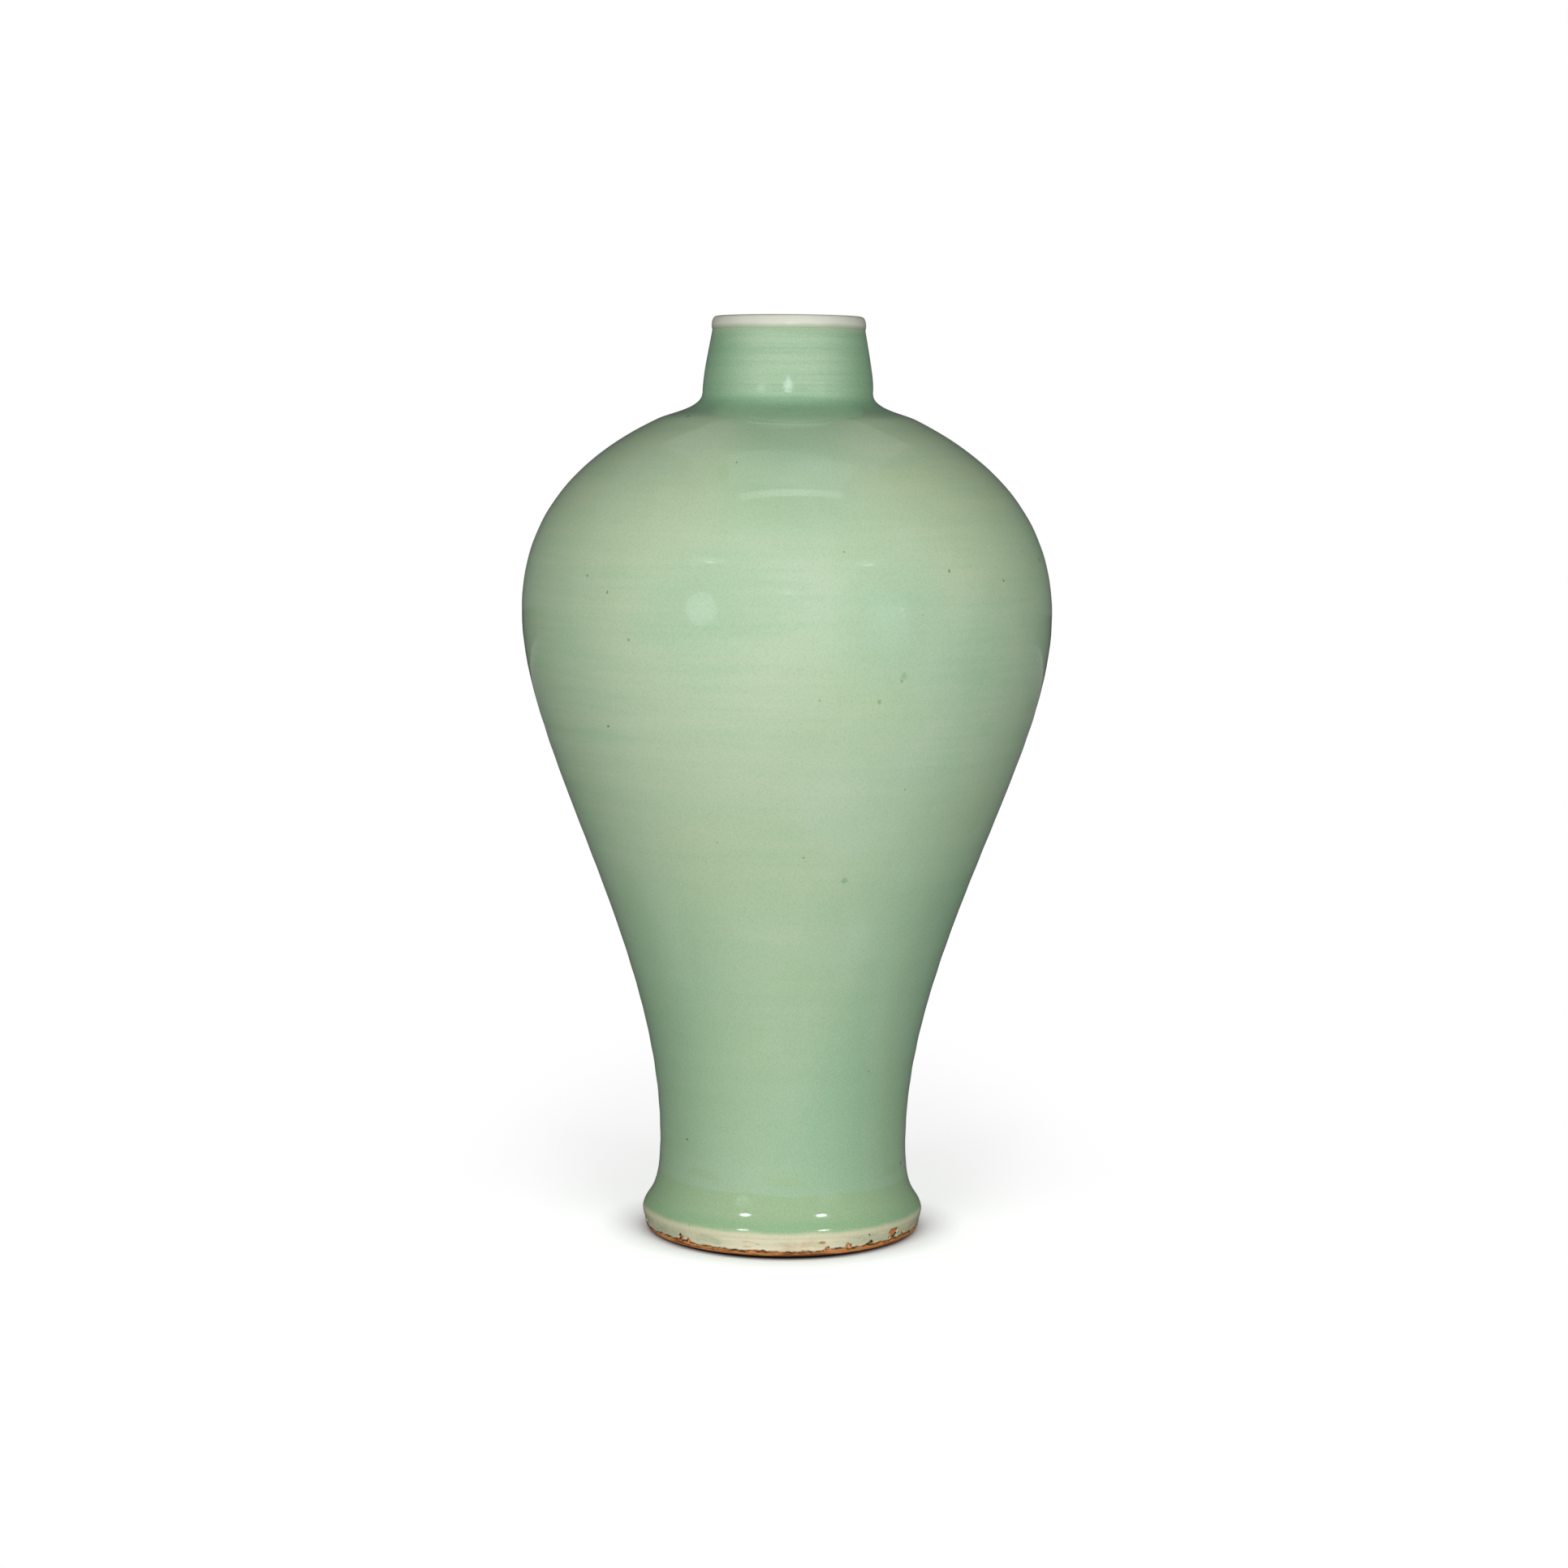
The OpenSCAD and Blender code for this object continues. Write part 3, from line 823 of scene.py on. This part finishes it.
def rim_shape(azimuth, radius, height):
    """Roughens the bare band of the foot, sets it back under the edge glaze and dents it in the chips."""
    outside = (height < RIM_TOP) & (radius > skin_radius(height) - 2 * EDGE_T)
    a, h = azimuth[outside], height[outside]
    clay = skin_radius(h) - EDGE_T * eased(h, BARE_H - STEP_FROM, BARE_H + STEP_TO)
    grit = sum(depth * rough(a, low * h, scale, seed) for depth, scale, seed, low in GRIT)
    bare = eased(h, *GRIT_START) * (1 - eased(h, RIM_TOP - GRIT_END, RIM_TOP))
    radius = radius.copy()
    radius[outside] = clay + bare * (grit - GRIT_BACK) - CHIP_IN_CLAY * chipped(a, h)
    return radius, height, np.zeros_like(height)


def edge_shape(azimuth, radius, height):
    """Gives the thin glaze of the foot a ragged lower border, and breaks it in the chips."""
    reach = (RIDGE_H - height) / (RIDGE_H - BARE_H)
    lower = height - reach * hang(azimuth)
    outside = radius > skin_radius(height) - EDGE_T / 2
    broken = CHIP_IN_GLAZE * chipped(azimuth, lower) * eased(reach, 0.02, 0.25)
    proud = EDGE_PROUD * eased(reach, 0.5, 1.0)
    outer = skin_radius(lower) + proud + bead(lower) - broken
    return np.where(outside, outer, skin_radius(lower) - EDGE_BACK), lower, np.zeros_like(height)


def body_shape(azimuth, radius, height):
    """Moves the outer skin of the celadon coat, and leaves its hidden inner side alone."""
    outside = radius > skin_radius(height) - SKIN_DEPTH
    ease = np.clip((height - UNEVEN_FROM[0]) / (UNEVEN_FROM[1] - UNEVEN_FROM[0]), 0, 1)
    ease = ease * np.clip((UNEVEN_TO[1] - height) / (UNEVEN_TO[1] - UNEVEN_TO[0]), 0, 1)
    radius = radius + outside * (ease * throwing(azimuth, height) + bead(height))
    return radius, height, outside * np.interp(height, BOW_HEIGHTS, BOW) * ease


def body_parts(height):
    """How finely the outline of the celadon coat is cut: more at the foot and at the neck's grooves."""
    fine = height < FINE_BELOW or FINE_AT_GROOVES[0] < height < FINE_AT_GROOVES[1]
    return BODY_PARTS_FINE if fine else BODY_PARTS


def foot_outline():
    """The outline of the foot section, with the outside of its rim cut finely."""
    rim = [p for p in FOOT if p[1] < RIM_TOP and p[0] > skin_radius(p[1]) - 2 * EDGE_T]
    fine = np.linspace(0.0, BARE_H + FINE_RINGS_END, FINE_RINGS)
    wide = np.linspace(BARE_H + WIDE_RINGS_START, RIM_TOP, WIDE_RINGS)
    heights = np.concatenate([fine, wide])
    rest = np.array([p for p in FOOT if not any((p == q).all() for q in rim)])
    return np.vstack([np.stack([skin_radius(heights), heights], 1), rest])


def piece(mesh_object, material, node):
    """Gives a piece its material, and lets it stand for a CAD node on the vase's one body."""
    mesh_object.data.materials.append(material)
    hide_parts(node)
    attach(mesh_object, "root")


def make_pieces():
    """The four pieces that are remade here, and the materials of the CAD nodes."""
    celadon = celadon_material()
    burnt = burnt_material()
    foot = tag_foot(turned("burnt_foot", foot_outline(), FOOT_SEGMENTS, rim_shape))
    piece(foot, burnt, "foot_section")
    edge_loop = np.vstack([finer(EDGE_OUT, EDGE_PARTS), EDGE_IN])
    edge = tag_foot(turned("foot_edge_coat", edge_loop, FOOT_SEGMENTS, edge_shape))
    piece(edge, edge_material(), "foot_edge_glaze")
    coat_loop = np.vstack([finer(BODY_OUT, body_parts), BODY_IN])
    coat = turned("celadon_coat", coat_loop, BODY_SEGMENTS, body_shape)
    piece(coat, celadon, "body_glaze")
    lip_loop = np.vstack([finer(LIP_OUT, LIP_PARTS), finer(LIP_IN[:-1], LIP_PARTS), LIP_IN[-1:]])
    piece(turned("lip_coat", lip_loop, LIP_SEGMENTS), lip_material(), "lip_glaze")

    looks = {
        "foot_section": burnt,
        "base_glaze": base_glaze_material(),
        "neck_lining_glaze": celadon,
    }
    stoneware = clay_material("bare_stoneware", *STONEWARE_TONES, ring_mm=7.0)
    slip = clay_material("luting_slip", *SLIP_TONES, ring_mm=3.0)
    for name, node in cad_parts.items():
        look = looks.get(name) or (slip if name.endswith("slip") else stoneware)
        node.data.materials.clear()
        node.data.materials.append(look)


# The floor: half its side, its colour for the light that it throws on the vase, and what the camera sees of
# it, which is a gain on the light that falls on it and a lift of its own, both dimmed by painted shade where
# it touches
FLOOR_HALF = 4.0
FLOOR_BOUNCE = (0.22, 0.22, 0.22, 1)
FLOOR_GAIN = 1.15
FLOOR_LIFT = 0.50
CONTACT_REACH = 0.018
CONTACT_SAMPLES = 8
# The dark line round the foot, a painted contact shadow: radii where it starts and ends, its level, and its
# squash along X, Y and Z
CONTACT_SHADOW_FROM = 0.0495
CONTACT_SHADOW_TO = 0.0552
CONTACT_SHADOW_LEVEL = 0.02
CONTACT_SHADOW_SQUASH = (1.06, 0.965, 1.0)
# The floor turns into the white backdrop between two radii. Distances behind the vase count for this share
GLOW_FROM = 0.055
GLOW_TO = 0.15
SHADOW_BACK = 0.3
# Light of the backdrop for the camera, and of the surroundings for all else
BACKDROP = 1.0
AROUND = 0.08


def make_floor():
    """A pale floor that the camera sees as white paper, with the soft shadow of the vase and painted shade
    round its foot.
    """
    mesh = bpy.data.meshes.new("floor")
    corners = [(x * FLOOR_HALF, y * FLOOR_HALF, 0) for x, y in ((-1, -1), (1, -1), (1, 1), (-1, 1))]
    mesh.from_pydata(corners, [], [(0, 1, 2, 3)])
    floor = bpy.data.objects.new("floor", mesh)
    bpy.context.scene.collection.objects.link(floor)
    material, tree = new_material("white_paper")
    # Painted shade: the floor darkened near the vase by ambient occlusion and by a painted contact shadow
    # round the foot
    contact = add(
        tree, "AmbientOcclusion", {"Distance": CONTACT_REACH}, out="AO", samples=CONTACT_SAMPLES
    )
    off_axis = add(tree, "VectorMath", {0: place(tree), 1: CONTACT_SHADOW_SQUASH}, operation="MULTIPLY")
    painted_contact_shadow = spread(tree, length(tree, off_axis), CONTACT_SHADOW_FROM, CONTACT_SHADOW_TO, CONTACT_SHADOW_LEVEL, 1.0, smooth=True)
    shade = product(tree, contact, painted_contact_shadow)
    lit = add(tree, "BsdfDiffuse", {"Color": product(tree, shade, FLOOR_GAIN)})
    lift = add(tree, "Emission", {"Color": WHITE, "Strength": product(tree, shade, FLOOR_LIFT)})
    bright = add(tree, "AddShader", {0: lit, 1: lift})
    glow = add(tree, "Emission", {"Color": WHITE, "Strength": BACKDROP})
    x, y = (add(tree, "SeparateXYZ", {0: place(tree)}, out=axis) for axis in (0, 1))
    behind = product(tree, maths(tree, "MAXIMUM", y, 0.0), SHADOW_BACK)
    along = maths(tree, "ADD", behind, maths(tree, "MINIMUM", y, 0.0))
    away = length(tree, add(tree, "CombineXYZ", {0: x, 1: along}))
    farther = spread(tree, away, GLOW_FROM, GLOW_TO, smooth=True)
    seen = add(tree, "MixShader", {0: farther, 1: bright, 2: glow})
    paper = add(tree, "BsdfDiffuse", {"Color": FLOOR_BOUNCE})
    to_camera = add(tree, "LightPath", out="Is Camera Ray")
    add_output(tree, add(tree, "MixShader", {0: to_camera, 1: paper, 2: seen}))
    mesh.materials.append(material)


def make_world():
    """White behind the vase for the camera, and dim even light from all round for everything else."""
    world = bpy.data.worlds.new("studio")
    world.use_nodes = True
    tree = world.node_tree
    tree.nodes.clear()
    to_camera = add(tree, "LightPath", out="Is Camera Ray")
    strength = spread(tree, to_camera, 0.0, 1.0, AROUND, BACKDROP)
    background = add(tree, "Background", {"Color": WHITE, "Strength": strength})
    add_output(tree, background, "World")
    bpy.context.scene.world = world


CENTRE = (Vector(cad_box[0]) + Vector(cad_box[1])) / 2


def around(azimuth, elevation, distance):
    """A point round the middle of the vase, as seen from the camera side."""
    turn, rise = math.radians(azimuth), math.radians(elevation)
    return CENTRE + distance * Vector(
        (math.sin(turn) * math.cos(rise), -math.cos(turn) * math.cos(rise), math.sin(rise))
    )


# Lamps that light the vase: name, place, target, width, height, watts, whether reflections show it
LAMPS = (
    ("softbox_left", around(-30, 9, 1.6), CENTRE, 0.90, 0.90, 15.2, False),
    ("softbox_right", around(30, 9, 1.6), CENTRE, 0.90, 0.90, 14.4, False),
    ("overhead_box", Vector((0.0, 0.02, 1.45)), Vector((0.0, 0.02, 0.0)), 1.10, 0.60, 0.45, True),
    ("back_box", around(180, 62, 1.6), CENTRE, 1.30, 0.80, 0.7, True),
    ("fill_left", around(-150, 6, 1.7), CENTRE, 1.00, 1.00, 5.5, False),
    ("fill_right", around(150, 6, 1.7), CENTRE, 1.00, 1.00, 5.5, False),
)

# Lamps that are seen only as their reflections in the glaze: name, azimuth and height where the camera sees
# the reflection, width, height, radiance, angle of the beam, distance from the skin, shape, tint
NEUTRAL = (1.0, 1.0, 1.0)
COOL = (0.80, 0.95, 1.0)
COLD = (0.60, 0.85, 1.0)
GLINTS = (
    ("window_left", -17.6, 237.6, 0.34, 0.42, 1.6, 40.0, 1.3, "ELLIPSE", COOL),
    ("window_right", 21.3, 237.4, 0.44, 0.48, 0.9, 40.0, 1.3, "RECTANGLE", COOL),
    ("shoulder_panel", 0.9, 284.5, 0.80, 0.52, 0.6, 80.0, 1.3, "RECTANGLE", COOL),
    ("shoulder_streak", 0.9, 276.9, 0.80, 0.13, 2.1, 60.0, 1.3, "RECTANGLE", NEUTRAL),
    ("neck_strobe", 0.3, 312.9, 0.10, 0.085, 5.8, 19.0, 0.35, "ELLIPSE", COOL),
    ("neck_tail", 0.3, 315.6, 0.035, 0.035, 2.2, 19.0, 0.35, "ELLIPSE", COLD),
    ("foot_strobe_left", -16.0, 14.7, 0.24, 0.16, 26.0, 12.4, 1.3, "ELLIPSE", NEUTRAL),
    ("foot_halo_left", -16.0, 14.7, 0.50, 0.30, 1.0, 26.0, 1.3, "ELLIPSE", COOL),
    ("foot_strobe_right", 17.0, 14.7, 0.24, 0.16, 26.0, 12.4, 1.3, "ELLIPSE", NEUTRAL),
    ("foot_halo_right", 17.0, 14.7, 0.50, 0.30, 1.0, 26.0, 1.3, "ELLIPSE", COOL),
)


def lamp(name, at, target, width, height, watts, glossy):
    """A rectangular lamp at a place, facing target. It returns the lamp's object."""
    data = bpy.data.lights.new(name, "AREA")
    data.shape = "RECTANGLE"
    data.size, data.size_y = width, height
    data.energy = watts
    data.spread = math.pi
    light = bpy.data.objects.new(name, data)
    facing = (at - target).to_track_quat("Z", "Y").to_matrix().to_4x4()
    light.matrix_world = Matrix.Translation(at) @ facing
    light.visible_glossy = glossy
    light.visible_camera = False
    bpy.context.scene.collection.objects.link(light)
    return light


def skin_normal(azimuth, height):
    """Outward direction of the skin, from its radii half a millimetre below and above."""
    lower, upper = (skin_radius(height + d) + bead(height + d) for d in (-0.5, 0.5))
    turn = math.radians(azimuth)
    return Vector((math.sin(turn), -math.cos(turn), lower - upper)).normalized()


def glint(name, azimuth, height, width, tall, radiance, beam, distance, shape, tint):
    """A lamp seen only as its reflection in the glaze, which the camera sees at that place on the skin."""
    seen_at = on_skin(azimuth, height)
    sight = (seen_at - CAMERA_PLACE).normalized()
    at = seen_at + distance * sight.reflect(skin_normal(azimuth, height))
    half = math.radians(beam) / 2
    narrowing = math.tan(half) / (math.tan(half) - half)
    watts = radiance * math.pi * width * tall / narrowing
    light = lamp(name, at, seen_at, width, tall, watts, glossy=True)
    light.visible_diffuse = False
    light.data.shape = shape
    light.data.color = tint
    light.data.spread = math.radians(beam)


make_pieces()
make_camera()
make_floor()
make_world()
for row in LAMPS:
    lamp(*row)
for row in GLINTS:
    glint(*row)
bpy.context.scene.view_settings.view_transform = "Standard"
